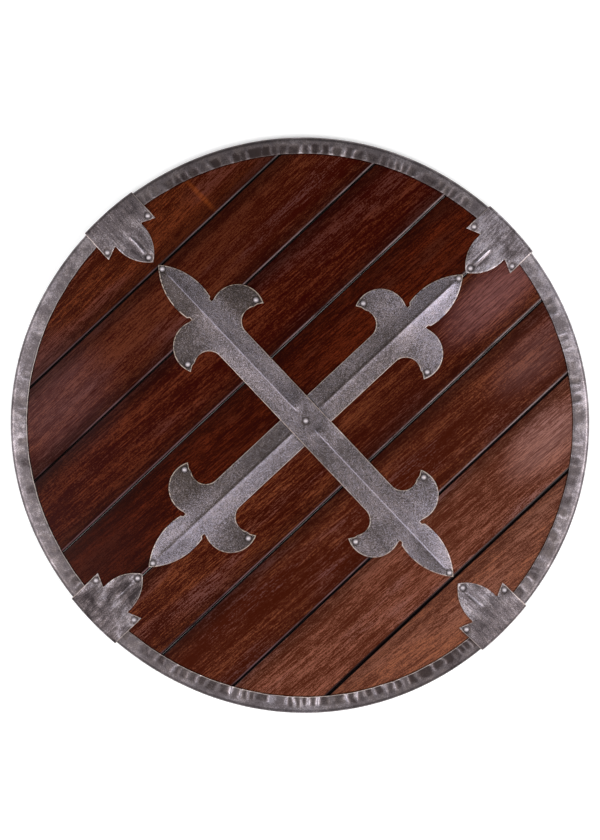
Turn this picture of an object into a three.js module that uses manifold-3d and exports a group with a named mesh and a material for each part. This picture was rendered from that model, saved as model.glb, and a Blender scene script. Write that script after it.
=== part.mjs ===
// A wooden round shield, lying on its back with its face up.
// Eight planks side by side make a flat disc, and run from the lower left to the upper right.
// A steel band folded over the edge holds their ends, and four steel clips are folded over the band.
// Two creased steel bars with fleur-de-lis ends cross on the face, the one across the planks on top.
// Round-headed rivets go right through and are clenched on the back.
// Millimetres, +Z up. Bearings are degrees from +X, turning towards +Y.
import * as THREE from 'three';
import { mergeVertices } from 'three/addons/utils/BufferGeometryUtils.js';
import Module from 'manifold-3d';

const radians = THREE.MathUtils.degToRad;

// ---- driving dimensions ----
const shieldRadius = 305; // to the outside of the band
const sheet = 1.5; // thickness of all the steel
const gap = 0.3; // left between pieces that touch

const board = {
  thickness: 12,
  plankCount: 8,
  plankPitch: 75.6,
  middleGroove: 1.8, // how far the middle groove lies off the centre
  bearing: 43, // the way the planks run
  edgeRound: 2, // rounding of a plank's long edges on the face
  roundSteps: 2,
  rimBevel: 2.6, // of the disc's edge, inside the folded band
};

const band = { width: 17.4, bend: 3.5, bendSteps: 2, insideSteps: 1, sides: 64 };

// The hand-made edge strays from a true circle by these slow waves.
const unevenness = [
  { waves: 2, swell: 0.85, crest: -11 },
  { waves: 3, swell: 1.2, crest: 51.5 },
  { waves: 4, swell: 1.05, crest: 1 },
];

const crossing = new THREE.Vector2(5.1, 4.1); // where the two bars cross
const bar = {
  halfWidth: 18.8,
  reach: 227.2, // from the crossing to a leaf's point
  crease: 3, // height of the fold along the middle
  creaseShoulder: 6, // the flanks steepen inside this distance from the middle
  shoulderHeight: 0.6, // their height there, as a share of the crease
  creaseEnds: 14, // the crease stops this far short of a leaf's point
  creaseFade: 13,
  plateHalfWidth: 60, // of the plate that the outline is cut from
};
const fleur = {
  hollowAt: 112.6, // centre of the hollow behind a side lobe
  hollowRadius: 15.8,
  hollowTurn: 130,
  spur: new THREE.Vector2(121.5, 53.2), // sharp end of a side lobe
  lobeAt: 134,
  lobeAcross: 27.5,
  lobeRadius: 27.7,
  lobeEnd: -14,
  notchAt: 161,
  notchAcross: 15,
  leafAt: 180, // where the middle leaf is widest
  leafHalfWidth: 18.2,
  leafStart: 165.5,
};
const upperBar = { bearing: 133.4, flatHalf: 9, flatFade: 11, lift: 3.8, liftHalf: 16, liftFade: 34 };
const lowerBar = { bearing: 42.95, flatHalf: 8, flatFade: 20, lift: 0, liftHalf: 16, liftFade: 34 };

// Each clip's leaf points at the middle of the shield, from its own distance and slightly askew.
const clips = [
  { name: 'clip_upper_left', bearing: 132.3, tipRadius: 232.8, skew: 0 },
  { name: 'clip_upper_right', bearing: 42.7, tipRadius: 237.5, skew: 1.3 },
  { name: 'clip_lower_left', bearing: 223.2, tipRadius: 230.8, skew: 0.8 },
  { name: 'clip_lower_right', bearing: 314.7, tipRadius: 236.6, skew: 1.5 },
];
const clip = {
  halfWidth: 33.2,
  leafAt: 35, // distances are from the leaf's point outwards
  leafHalfWidth: 18.2,
  leafEnd: 37.6,
  notchAt: 39.4,
  notchAcross: 19,
  earStart: new THREE.Vector2(38.6, 20.6),
  earAt: 33.3, // point of an ear, on the clip's straight side
  tabDepth: 40, // of the plain fold on the back
  tabCorner: 6,
  stepStart: 4.4, // the sheet steps up to clear the band, this far inside the band
  stepEnd: 1.4,
  ribAt: 20,
  ribHalfLength: 9.5,
  ribHalfWidth: 1.7,
  ribHeight: 1.1,
};

const rivet = {
  headRadius: 3,
  headHeight: 1.8,
  shankRadius: 1.5,
  tailRadius: 3.1,
  tailHeight: 1,
  sides: 8,
  onLeafTip: 221.3, // places on a bar, from the crossing
  onLobeAt: 129.3,
  onLobeAcross: 49.6,
  onClipTip: 6.6, // places on a clip, from its leaf's point
  onEarAt: 40,
  onEarAcross: 28.95,
};

const steelColours = {
  band: '#7d7a7c',
  upperBar: '#7c7775',
  lowerBar: '#6f6b6b',
  clip: '#76717a',
  rivet: '#c9c2c6',
};
const plankColours = ['#451e12', '#431c11', '#401910', '#3b170e', '#4a2016', '#4a2117', '#613223', '#703f2f'];

// ---- heights, from the back of the planks ----
const face = board.thickness;
const back = 0;
const layer = sheet + gap; // one thickness of steel with the gap under it
const floorDepth = 2 * layer; // the clips' folds are the lowest part

// ---- joining and cutting ----
const manifold = await Module();
manifold.setup();

function solid(geometry) {
  const bare = geometry.index ? geometry.clone() : geometry;
  bare.deleteAttribute('normal');
  bare.deleteAttribute('uv');
  const merged = mergeVertices(bare, 1e-4);
  return new manifold.Manifold(new manifold.Mesh({
    numProp: 3,
    vertProperties: new Float32Array(merged.attributes.position.array),
    triVerts: new Uint32Array(merged.index.array),
  }));
}

function geometryOf(body) {
  const { vertProperties, triVerts } = body.getMesh();
  const geometry = new THREE.BufferGeometry();
  geometry.setAttribute('position', new THREE.BufferAttribute(vertProperties, 3));
  geometry.setIndex(new THREE.BufferAttribute(triVerts, 1));
  geometry.computeVertexNormals();
  return geometry;
}

function piece(name, geometry, color, roughness, metalness) {
  const mesh = new THREE.Mesh(geometry, new THREE.MeshStandardMaterial({ color, roughness, metalness }));
  mesh.name = name;
  return mesh;
}

// ---- shapes used by several pieces ----
function turned(profile, sides) { // profile of (radius, height) points, turned about +Z
  const geometry = new THREE.LatheGeometry(profile, sides);
  geometry.rotateX(Math.PI / 2);
  return geometry;
}

function uneven(geometry) { // pushes a turned shape in and out like the hand-made edge
  const points = geometry.attributes.position;
  for (let i = 0; i < points.count; i += 1) {
    const x = points.getX(i);
    const y = points.getY(i);
    const radius = Math.hypot(x, y);
    if (radius > shieldRadius / 2) {
      const bearing = Math.atan2(y, x);
      const stray = unevenness.reduce(
        (sum, { waves, swell, crest }) => sum + swell * Math.cos(waves * (bearing - radians(crest))),
        0,
      );
      points.setXY(i, x * (1 + stray / radius), y * (1 + stray / radius));
    }
  }
  return geometry;
}

function prism(outline, bottom, top) { // a flat outline standing from bottom to top
  const geometry = new THREE.ExtrudeGeometry(new THREE.Shape(outline), {
    depth: top - bottom,
    bevelEnabled: false,
  });
  geometry.translate(0, 0, bottom);
  return geometry;
}

function quarterTurn(centre, radius, start, steps) { // points of a quarter circle, clockwise
  return Array.from({ length: steps + 1 }, (_, i) => {
    const angle = radians(start - (90 * i) / steps);
    return new THREE.Vector2(centre.x + radius * Math.cos(angle), centre.y + radius * Math.sin(angle));
  });
}

function leafRadius(halfWidth, length) { // of the arc from a leaf's widest place to its point
  return (length ** 2 + halfWidth ** 2) / (2 * halfWidth);
}

// Folded sheet round the edge, seen in section: a front flange, a bend, the wall, a bend, a back flange.
function foldedEdge(outside, frontFlange, backFlange, bend, insideSteps, level) {
  const outerTop = face + level + sheet;
  const outerBottom = back - level - sheet;
  const wall = (offset, steps) => {
    const radius = bend - offset;
    const centreX = outside - bend;
    return [
      ...quarterTurn(new THREE.Vector2(centreX, outerTop - bend), radius, 90, steps),
      ...quarterTurn(new THREE.Vector2(centreX, outerBottom + bend), radius, 0, steps),
    ];
  };
  const outer = [...frontFlange(sheet), ...wall(0, band.bendSteps), ...backFlange(sheet).reverse()];
  const inner = [...backFlange(0), ...wall(sheet, insideSteps).reverse(), ...frontFlange(0).reverse()];
  const loop = [...outer, ...inner].reverse();
  return uneven(turned([...loop, loop[0].clone()], band.sides));
}

// ---- planks ----
function grooveOffset(index) { // 1 to 7, counted from the upper left
  return board.middleGroove + (index - board.plankCount / 2) * board.plankPitch;
}

function plankSection(from, to) { // across the plank and up, with rounded edges on the face
  const round = board.edgeRound;
  return [
    new THREE.Vector2(from, back),
    ...quarterTurn(new THREE.Vector2(from + round, face - round), round, 180, board.roundSteps),
    ...quarterTurn(new THREE.Vector2(to - round, face - round), round, 90, board.roundSteps),
    new THREE.Vector2(to, back),
  ];
}

function boardDisc() {
  const radius = shieldRadius - layer;
  const inset = radius - board.rimBevel;
  return uneven(turned([
    new THREE.Vector2(0, back),
    new THREE.Vector2(inset, back),
    new THREE.Vector2(radius, back + board.rimBevel),
    new THREE.Vector2(radius, face - board.rimBevel),
    new THREE.Vector2(inset, face),
    new THREE.Vector2(0, face),
  ], band.sides));
}

function plankBlank(index) { // over-long, along the planks' bearing
  const outermost = shieldRadius + board.plankPitch;
  const from = index === 1 ? -outermost : grooveOffset(index - 1) + gap / 2;
  const to = index === board.plankCount ? outermost : grooveOffset(index) - gap / 2;
  const geometry = new THREE.ExtrudeGeometry(new THREE.Shape(plankSection(from, to)), {
    depth: 2 * outermost,
    bevelEnabled: false,
  });
  geometry.translate(0, 0, -outermost);
  geometry.rotateX(Math.PI / 2); // the section now stands up, and the length lies along Y
  geometry.rotateZ(radians(board.bearing) - Math.PI / 2);
  return geometry;
}

// ---- band ----
function bandSection() {
  const lip = shieldRadius - band.width;
  const front = (height) => [new THREE.Vector2(lip, face + gap + height)];
  const rear = (height) => [new THREE.Vector2(lip, back - gap - height)];
  return foldedEdge(shieldRadius, front, rear, band.bend, band.insideSteps, gap);
}

// ---- bars ----
function barQuarter() { // from the middle of one side to the leaf's point
  const radius = leafRadius(fleur.leafHalfWidth, bar.reach - fleur.leafAt);
  const leafCentre = fleur.leafHalfWidth - radius;
  const lobeStart = Math.atan2(fleur.spur.y - fleur.lobeAcross, fleur.spur.x - fleur.lobeAt);
  const path = new THREE.Path();
  path.moveTo(0, bar.halfWidth);
  path.lineTo(fleur.hollowAt, bar.halfWidth);
  path.absarc(
    fleur.hollowAt, bar.halfWidth + fleur.hollowRadius, fleur.hollowRadius,
    -Math.PI / 2, radians(fleur.hollowTurn) - Math.PI / 2, false,
  );
  path.lineTo(fleur.spur.x, fleur.spur.y);
  path.absarc(fleur.lobeAt, fleur.lobeAcross, fleur.lobeRadius, lobeStart, radians(fleur.lobeEnd), true);
  path.lineTo(fleur.notchAt, fleur.notchAcross);
  path.absarc(
    fleur.leafAt, leafCentre, radius,
    Math.acos((fleur.leafStart - fleur.leafAt) / radius), Math.asin(-leafCentre / radius), true,
  );
  return path.getPoints(4);
}

function barOutline() {
  const quarter = barQuarter();
  const half = [...quarter, ...quarter.slice(0, -1).reverse().map((p) => new THREE.Vector2(p.x, -p.y))];
  const otherHalf = half.slice(1, -1).reverse().map((p) => new THREE.Vector2(-p.x, p.y));
  return [...half, ...otherHalf];
}

function creaseHeight(along, across, flatHalf, flatFade) {
  const side = Math.abs(across);
  const shoulder = bar.shoulderHeight;
  const rise = side < bar.creaseShoulder
    ? 1 - ((1 - shoulder) * side) / bar.creaseShoulder
    : shoulder * Math.max(0, (bar.halfWidth - side) / (bar.halfWidth - bar.creaseShoulder));
  const creaseEnd = bar.reach - bar.creaseEnds;
  const fromCrossing = THREE.MathUtils.smoothstep(Math.abs(along), flatHalf, flatHalf + flatFade);
  const toPoint = 1 - THREE.MathUtils.smoothstep(Math.abs(along), creaseEnd - bar.creaseFade, creaseEnd);
  return bar.crease * rise * fromCrossing * toPoint;
}

function barStations({ flatHalf, flatFade, lift, liftHalf, liftFade }) { // where the sheet bends
  const creaseEnd = bar.reach - bar.creaseEnds;
  const fading = [bar.creaseFade, bar.creaseFade / 2, 0].map((length) => creaseEnd - length);
  const middle = [flatHalf, flatHalf + flatFade / 2, flatHalf + flatFade];
  const slope = lift > 0 ? [0.3, 0.5, 0.7, 1].map((share) => liftHalf + share * liftFade) : [];
  const half = [...middle, ...slope, ...fading, bar.reach + bar.creaseEnds].sort((a, b) => a - b);
  return [...half.slice().reverse().map((value) => -value), ...half];
}

function barSheet(spec) {
  const { flatHalf, flatFade, lift, liftHalf, liftFade } = spec;
  const across = [bar.plateHalfWidth, bar.halfWidth, bar.creaseShoulder];
  const row = [...across.map((value) => -value), 0, ...across.slice().reverse()];
  const section = new THREE.Shape([
    ...row.map((value) => new THREE.Vector2(value, 0)),
    ...row.slice().reverse().map((value) => new THREE.Vector2(value, sheet)),
  ]);
  const stations = barStations(spec);
  const steps = stations.length - 1;
  const geometry = new THREE.ExtrudeGeometry(section, { depth: steps, steps, bevelEnabled: false });
  geometry.rotateX(Math.PI / 2);
  geometry.rotateZ(Math.PI / 2); // the length lies along X, one unit from station to station
  const points = geometry.attributes.position;
  for (let i = 0; i < points.count; i += 1) {
    const along = stations[Math.round(points.getX(i))];
    const rise = lift * (1 - THREE.MathUtils.smoothstep(Math.abs(along), liftHalf, liftHalf + liftFade));
    const crease = creaseHeight(along, points.getY(i), flatHalf, flatFade);
    points.setX(i, along);
    points.setZ(i, points.getZ(i) + crease + rise);
  }
  return geometry;
}

function barRivetPlaces() { // in the bar's own frame
  const places = [];
  for (const end of [1, -1]) {
    places.push(new THREE.Vector2(end * rivet.onLeafTip, 0));
    for (const side of [1, -1]) {
      places.push(new THREE.Vector2(end * rivet.onLobeAt, side * rivet.onLobeAcross));
    }
  }
  return places;
}

// ---- clips ----
function clipOutline() { // outwards from the leaf's point, and across
  const radius = leafRadius(clip.leafHalfWidth, clip.leafAt);
  const leafCentre = clip.leafHalfWidth - radius;
  const path = new THREE.Path();
  path.absarc(
    clip.leafAt, leafCentre, radius,
    Math.PI - Math.asin(-leafCentre / radius), Math.acos((clip.leafEnd - clip.leafAt) / radius), true,
  );
  path.lineTo(clip.notchAt, clip.notchAcross);
  path.lineTo(clip.earStart.x, clip.earStart.y);
  path.lineTo(clip.earAt, clip.halfWidth);
  path.lineTo(2 * clip.tabDepth + clip.earAt, clip.halfWidth);
  const side = path.getPoints(4);
  return [...side, ...side.slice(1).reverse().map((p) => new THREE.Vector2(p.x, -p.y))];
}

function tabOutline(start) { // the plain fold on the back, with its corners cut off
  const corner = clip.tabCorner;
  const side = [
    new THREE.Vector2(start, clip.halfWidth - corner),
    new THREE.Vector2(start + corner, clip.halfWidth),
    new THREE.Vector2(start + 2 * clip.tabDepth, clip.halfWidth),
  ];
  return [...side, ...side.slice().reverse().map((p) => new THREE.Vector2(p.x, -p.y))];
}

function clipWrap() { // the bent sheet that every clip is cut from, all the way round
  const bandLip = shieldRadius - band.width;
  const innermost = shieldRadius / 2 + board.plankPitch / 2;
  const flange = (level, out) => (height) => [
    new THREE.Vector2(innermost, level + out * (gap + height)),
    new THREE.Vector2(bandLip - clip.stepStart, level + out * (gap + height)),
    new THREE.Vector2(bandLip - clip.stepEnd, level + out * (layer + gap + height)),
  ];
  const bend = band.bend + layer;
  return foldedEdge(shieldRadius + layer, flange(face, 1), flange(back, -1), bend, band.bendSteps, layer + gap);
}

function clipPlace({ bearing, tipRadius, skew }) { // from the clip's own frame to the shield's
  const middle = radians(bearing);
  return new THREE.Matrix4()
    .makeTranslation(tipRadius * Math.cos(middle), tipRadius * Math.sin(middle), 0)
    .multiply(new THREE.Matrix4().makeRotationZ(radians(bearing + skew)));
}

function clipGeometry(spec, holes) {
  const place = clipPlace(spec);
  const wallMiddle = face / 2;
  const tabStart = shieldRadius - clip.tabDepth - spec.tipRadius;
  const front = prism(clipOutline(), wallMiddle - 1, face + 4 * layer).applyMatrix4(place);
  const rear = prism(tabOutline(tabStart), back - 4 * layer, wallMiddle + 1).applyMatrix4(place);
  const rib = new THREE.SphereGeometry(1, 6, 4);
  rib.scale(clip.ribHalfLength, clip.ribHalfWidth, clip.ribHeight);
  rib.translate(clip.ribAt, 0, face + layer - 0.05);
  const wrap = solid(clipWrap());
  const folded = wrap.intersect(solid(front)).add(wrap.intersect(solid(rear)));
  return geometryOf(folded.add(solid(rib.applyMatrix4(place))).subtract(holes));
}

function clipRivetPlaces() { // in the clip's own frame
  return [
    new THREE.Vector2(rivet.onClipTip, 0),
    new THREE.Vector2(rivet.onEarAt, rivet.onEarAcross),
    new THREE.Vector2(rivet.onEarAt, -rivet.onEarAcross),
  ];
}

// ---- rivets ----
function rivetGeometry(seat, clench) { // a round head on its seat, and a flattened end on the back
  const { headRadius, headHeight, shankRadius, tailRadius, tailHeight } = rivet;
  return turned([
    new THREE.Vector2(0, clench - tailHeight),
    new THREE.Vector2(tailRadius, clench),
    new THREE.Vector2(shankRadius, clench),
    new THREE.Vector2(shankRadius, seat),
    new THREE.Vector2(headRadius, seat),
    new THREE.Vector2(0.7 * headRadius, seat + 0.75 * headHeight),
    new THREE.Vector2(0, seat + headHeight),
  ], rivet.sides);
}

function rivetHoles(rivets) {
  const radius = rivet.shankRadius + gap / Math.cos(Math.PI / rivet.sides);
  const depth = 4 * board.thickness;
  const drill = turned([
    new THREE.Vector2(0, back - depth),
    new THREE.Vector2(radius, back - depth),
    new THREE.Vector2(radius, face + depth),
    new THREE.Vector2(0, face + depth),
  ], rivet.sides);
  return rivets
    .map(({ spot }) => solid(drill.clone().translate(spot.x, spot.y, 0)))
    .reduce((all, hole) => all.add(hole));
}

function barRivets(name, { bearing }) {
  return barRivetPlaces().map((place, i) => ({
    name: `${name}_rivet_${i + 1}`,
    spot: place.rotateAround(new THREE.Vector2(), radians(bearing)).add(crossing),
    seat: face + layer + gap,
    clench: back - gap,
  }));
}

function clipRivets(spec) {
  return clipRivetPlaces().map((place, i) => {
    const spot = new THREE.Vector3(place.x, place.y, 0).applyMatrix4(clipPlace(spec));
    const throughTab = i > 0;
    return {
      name: `${spec.name}_rivet_${i + 1}`,
      spot: new THREE.Vector2(spot.x, spot.y),
      seat: face + layer + gap,
      clench: back - gap - (throughTab ? layer : 0),
    };
  });
}

// ---- the shield ----
const shield = new THREE.Group();

const rivets = [
  { name: 'middle_rivet', spot: crossing, seat: face + layer + upperBar.lift + gap, clench: back - gap },
  ...barRivets('upper_bar', upperBar),
  ...barRivets('lower_bar', lowerBar),
  ...clips.flatMap(clipRivets),
];
const holes = rivetHoles(rivets);

const disc = solid(boardDisc());
for (let i = 1; i <= board.plankCount; i += 1) {
  const plank = disc.intersect(solid(plankBlank(i))).subtract(holes);
  shield.add(piece(`plank_${i}`, geometryOf(plank), plankColours[i - 1], 0.42, 0));
}

shield.add(piece('edge_band', bandSection(), steelColours.band, 0.45, 0.9));

for (const [name, spec] of Object.entries({ lower_bar: lowerBar, upper_bar: upperBar })) {
  const place = new THREE.Matrix4()
    .makeTranslation(crossing.x, crossing.y, face + gap)
    .multiply(new THREE.Matrix4().makeRotationZ(radians(spec.bearing)));
  const cut = solid(prism(barOutline(), -board.thickness, board.thickness).applyMatrix4(place));
  const sheetBody = solid(barSheet(spec).applyMatrix4(place));
  const colour = name === 'upper_bar' ? steelColours.upperBar : steelColours.lowerBar;
  shield.add(piece(name, geometryOf(sheetBody.intersect(cut).subtract(holes)), colour, 0.5, 0.9));
}

for (const spec of clips) {
  shield.add(piece(spec.name, clipGeometry(spec, holes), steelColours.clip, 0.45, 0.9));
}

for (const { name, spot, seat, clench } of rivets) {
  const mesh = piece(name, rivetGeometry(seat, clench), steelColours.rivet, 0.3, 1);
  mesh.position.set(spot.x, spot.y, 0);
  shield.add(mesh);
}

// The clips' folds lie on the ground, and the middle of the outline stands over the origin.
const outline = new THREE.Box3().setFromObject(shield);
const middle = outline.getCenter(new THREE.Vector3());
shield.position.set(-middle.x, -middle.y, floorDepth);

export default shield;
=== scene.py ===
import math

import bmesh
import bpy
from mathutils import Matrix, Vector, noise


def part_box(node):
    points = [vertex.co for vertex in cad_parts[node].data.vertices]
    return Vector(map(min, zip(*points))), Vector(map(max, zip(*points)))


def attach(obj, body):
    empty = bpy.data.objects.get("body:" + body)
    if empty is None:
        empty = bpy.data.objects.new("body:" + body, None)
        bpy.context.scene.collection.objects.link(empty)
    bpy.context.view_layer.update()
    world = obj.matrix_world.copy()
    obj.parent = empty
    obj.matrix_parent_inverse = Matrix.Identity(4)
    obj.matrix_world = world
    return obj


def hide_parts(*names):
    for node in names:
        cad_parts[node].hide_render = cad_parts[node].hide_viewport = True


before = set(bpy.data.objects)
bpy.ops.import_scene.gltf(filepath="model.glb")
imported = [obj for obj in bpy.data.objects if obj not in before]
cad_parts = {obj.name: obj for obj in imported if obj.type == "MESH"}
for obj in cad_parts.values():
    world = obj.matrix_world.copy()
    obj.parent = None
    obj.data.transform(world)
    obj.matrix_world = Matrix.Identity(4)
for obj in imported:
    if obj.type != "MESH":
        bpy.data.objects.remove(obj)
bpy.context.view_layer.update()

mm = 0.001
scene = bpy.context.scene


def middleOf(node):
    low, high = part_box(node)
    return (low + high) / 2


def smooth(value, low, high):  # eased from 0 to 1
    share = min(1, max(0, (value - low) / (high - low)))
    return share * share * (3 - 2 * share)


def bump(distance, width):  # 1 in the middle, fading to nothing
    return math.exp(-((distance / width) ** 2))


# what every piece is measured from
shield = {
    "crossing": middleOf("middle_rivet"),
    "middleOffset": Vector((5.1 * mm, 4.1 * mm, 0)),  # from the shield's middle to the crossing
    "face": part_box("plank_4")[1].z,
    "back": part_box("plank_4")[0].z,
    "radius": 305 * mm,
    "sheet": 1.5 * mm,
    "gap": 0.3 * mm,
    "waves": ((2, 0.85 * mm, -11), (3, 1.2 * mm, 51.5), (4, 1.05 * mm, 1)),  # count, swell, crest
}
shield["middle"] = Vector((shield["crossing"].x, shield["crossing"].y, 0)) - shield["middleOffset"]
layer = shield["sheet"] + shield["gap"]


def strayAt(bearing):  # how far the hand-made edge leaves a true circle
    return sum(swell * math.cos(count * (bearing - math.radians(crest)))
               for count, swell, crest in shield["waves"])


# ---- finishes ----
def shade(red, green, blue):  # a colour as the eye sees it, 0 to 255
    shares = (red / 255, green / 255, blue / 255)
    return tuple(v / 12.92 if v < 0.04045 else ((v + 0.055) / 1.055) ** 2.4 for v in shares)


class Wire:  # a node's output that sums can be written with
    def __init__(self, finish, socket):
        self.finish = finish
        self.socket = socket

    def __add__(self, other):
        return self.finish.sum("ADD", self, other)

    def __radd__(self, other):
        return self.finish.sum("ADD", other, self)

    def __sub__(self, other):
        return self.finish.sum("SUBTRACT", self, other)

    def __rsub__(self, other):
        return self.finish.sum("SUBTRACT", other, self)

    def __mul__(self, other):
        return self.finish.sum("MULTIPLY", self, other)

    def __rmul__(self, other):
        return self.finish.sum("MULTIPLY", other, self)

    def __pow__(self, other):
        return self.finish.sum("POWER", self, other)


class Finish:  # a material, or the world, being built
    def __init__(self, owner):
        self.owner = owner
        owner.use_nodes = True
        self.tree = owner.node_tree
        self.tree.nodes.clear()

    def add(self, kind, settings, sockets, output=0):
        node = self.tree.nodes.new(kind)
        for setting, value in settings.items():
            if setting == "stops":
                self.setStops(node.color_ramp, value)
            else:
                setattr(node, setting, value)
        for socket, value in sockets.items():
            if isinstance(value, Wire):
                self.tree.links.new(value.socket, node.inputs[socket])
            elif value is not None:
                node.inputs[socket].default_value = value
        return Wire(self, node.outputs[output] if node.outputs else None)

    def setStops(self, ramp, stops):
        while len(ramp.elements) > 1:
            ramp.elements.remove(ramp.elements[-1])
        for index, (place, colour) in enumerate(stops):
            stop = ramp.elements.new(place) if index else ramp.elements[0]
            stop.position = place
            stop.color = (*colour, 1)

    def sum(self, operation, first, second):
        return self.add("ShaderNodeMath", {"operation": operation}, {0: first, 1: second})

    def held(self, value):  # kept between 0 and 1
        return self.add("ShaderNodeClamp", {}, {0: value})

    def between(self, value, low, high):  # eased from 0 to 1
        settings = {"interpolation_type": "SMOOTHSTEP"}
        return self.add("ShaderNodeMapRange", settings, {"Value": value, "From Min": low, "From Max": high})

    def ramp(self, factor, stops):  # from colour to colour
        stops = [(place, shade(*colour)) for place, colour in stops]
        return self.add("ShaderNodeValToRGB", {"stops": stops}, {"Fac": factor})

    def blend(self, factor, first, second, how="MIX"):
        settings = {"data_type": "RGBA", "blend_type": how}
        first, second = (c if isinstance(c, Wire) else (*c, 1) for c in (first, second))
        return self.add("ShaderNodeMix", settings, {0: factor, 6: first, 7: second}, 2)

    def place(self, bearing=0, size=(1, 1, 1), start=(0, 0, 0)):  # the piece's space, turned and stretched
        own = self.add("ShaderNodeTexCoord", {}, {}, "Object")
        sockets = {"Vector": own, "Rotation": (0, 0, bearing), "Scale": size, "Location": start}
        return self.add("ShaderNodeMapping", {"vector_type": "TEXTURE"}, sockets)

    def cloud(self, where, detail=2, rough=0.5, warp=0):
        sockets = {"Vector": where, "Scale": 1, "Detail": detail, "Roughness": rough, "Distortion": warp}
        return self.add("ShaderNodeTexNoise", {}, sockets)

    def outlineAt(self):  # distance from the shield's middle, less the stray of its outline
        own = self.place(start=shield["middle"])
        x, y = (self.add("ShaderNodeSeparateXYZ", {}, {0: own}, output) for output in (0, 1))
        bearing = self.sum("ARCTAN2", y, x)
        distance = (x * x + y * y) ** 0.5
        for count, swell, crest in shield["waves"]:
            turned = bearing * count - math.radians(count * crest)
            distance = distance - self.sum("COSINE", turned, None) * swell
        return distance

    def marked(self, name):  # what the piece's vertices carry under this name
        return self.add("ShaderNodeAttribute", {"attribute_name": name}, {}, "Fac")

    def finished(self, sockets, height, depth, strength):  # with a low relief
        relief = self.add("ShaderNodeBump", {}, {"Strength": strength, "Distance": depth, "Height": height})
        surface = self.add("ShaderNodeBsdfPrincipled", {}, {**sockets, "Normal": relief})
        self.add("ShaderNodeOutputMaterial", {}, {"Surface": surface})
        return self.owner


# ---- making and placing pieces ----
def spun(bm, geom, centre, axis, turn, count, merge=False):
    return bmesh.ops.spin(bm, geom=geom, cent=centre, axis=axis, angle=turn, steps=count, dvec=(0, 0, 0),
                          use_merge=merge, use_normal_flip=False, use_duplicate=False)


class Pen:  # draws an outline from vertex to vertex
    def __init__(self, bm, start):
        self.bm = bm
        self.tip = bm.verts.new(start)

    def line(self, end, count=1):
        start = self.tip.co.copy()
        for step in range(1, count + 1):
            self.tip = bmesh.ops.extrude_vert_indiv(self.bm, verts=[self.tip])["verts"][0]
            self.tip.co = start.lerp(Vector(end), step / count)

    def arc(self, centre, turn, count, axis=(0, 0, 1)):
        swept = spun(self.bm, [self.tip], centre, axis, turn, count)
        self.tip = next(v for v in swept["geom_last"] if isinstance(v, bmesh.types.BMVert))

    def arcTo(self, centre, end, count):  # the short way round
        before, after = self.tip.co - centre, Vector(end) - centre
        self.arc(centre, -before.xy.angle_signed(after.xy), count)


def onCircle(centre, radius, bearing):
    return centre + radius * Vector((math.cos(bearing), math.sin(bearing), 0))


def everything(bm):
    return bm.verts[:] + bm.edges[:] + bm.faces[:]


def mirrored(bm, axis):
    bmesh.ops.mirror(bm, geom=everything(bm), matrix=Matrix.Identity(4), merge_dist=0.001 * mm, axis=axis)
    bmesh.ops.remove_doubles(bm, verts=bm.verts[:], dist=0.01 * mm)


def filled(bm, rim):  # one face inside the drawn outline, with a narrow strip along its edge
    face = bmesh.ops.contextual_create(bm, geom=bm.edges[:], mat_nr=0, use_smooth=True)["faces"][0]
    face.normal_update()
    if face.normal.z < 0:
        face.normal_flip()
    bmesh.ops.inset_region(bm, faces=[face], thickness=rim, depth=0, use_boundary=True, use_even_offset=True)


def sliced(bm, normal, places):  # cut across at each place, so that the sheet can bend there
    for place in places:
        bmesh.ops.bisect_plane(bm, geom=everything(bm), dist=0.02 * mm, plane_co=Vector(normal) * place,
                               plane_no=normal, use_snap_center=False, clear_outer=False, clear_inner=False)


def steps(low, high, size):
    count = max(1, round((high - low) / size))
    return [low + (high - low) * i / count for i in range(count + 1)]


def marks(bm, *names):  # numbers that the vertices carry for the finish to read
    return [bm.verts.layers.float.new(name) for name in names]


def edgeEased(bm, depth):  # the sheet's edges are filed round and worn bright
    edge, = marks(bm, "edge")
    bm.normal_update()
    for vertex in [v for v in bm.verts if v.is_boundary]:
        vertex[edge] = 1
        vertex.co -= vertex.normal * depth


def thickened(bm, thickness):
    bm.normal_update()
    bmesh.ops.solidify(bm, geom=bm.faces[:], thickness=thickness)


def nearest(vertex, places):
    return min((vertex.co - place).length for place in places)


def camel(words):
    return words[0] + "".join(word.capitalize() for word in words[1:])


def madePiece(name, bm, material, node, sharp):  # sharp is the angle of the edges that stay crisp
    mesh = bpy.data.meshes.new(name)
    for face in bm.faces:
        face.smooth = True
    bm.to_mesh(mesh)
    bm.free()
    mesh.set_sharp_from_angle(angle=math.radians(sharp))
    mesh.materials.append(material)
    piece = bpy.data.objects.new(name, mesh)
    scene.collection.objects.link(piece)
    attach(piece, "root")
    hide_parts(node)


# ---- camera, light and floor ----
studio = {
    "cameraHeight": 2.6,
    "aim": Vector((0.02 * mm, 5.5 * mm, 0)),
    "widthSeen": 635.8 * mm,
    "farthest": 50,
    "floorSize": 12,
    "floorColour": shade(252, 252, 252),
    "floorGlow": 0.25,  # keeps the floor white close to the shield
    "horizon": 0.95,  # brightness of the surroundings there and overhead
    "zenith": 0.035,
    "zenithFrom": 0.7,  # height, as a share, above which they are as dark as overhead
    "softboxes": (
        {"name": "softboxLeft", "at": (-1.1, -0.28, 1.7), "size": 1.2, "power": 30.5},
        {"name": "softboxRight", "at": (1.15, -0.28, 1.65), "size": 1.2, "power": 33},
    ),
}


def setUpCamera():
    lens = bpy.data.cameras.new("camera")
    lens.sensor_fit = "HORIZONTAL"
    lens.lens = lens.sensor_width * (studio["cameraHeight"] - shield["face"]) / studio["widthSeen"]
    lens.clip_end = studio["farthest"]
    camera = bpy.data.objects.new("camera", lens)
    camera.location = studio["aim"] + Vector((0, 0, studio["cameraHeight"]))
    scene.collection.objects.link(camera)
    scene.camera = camera


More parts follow.
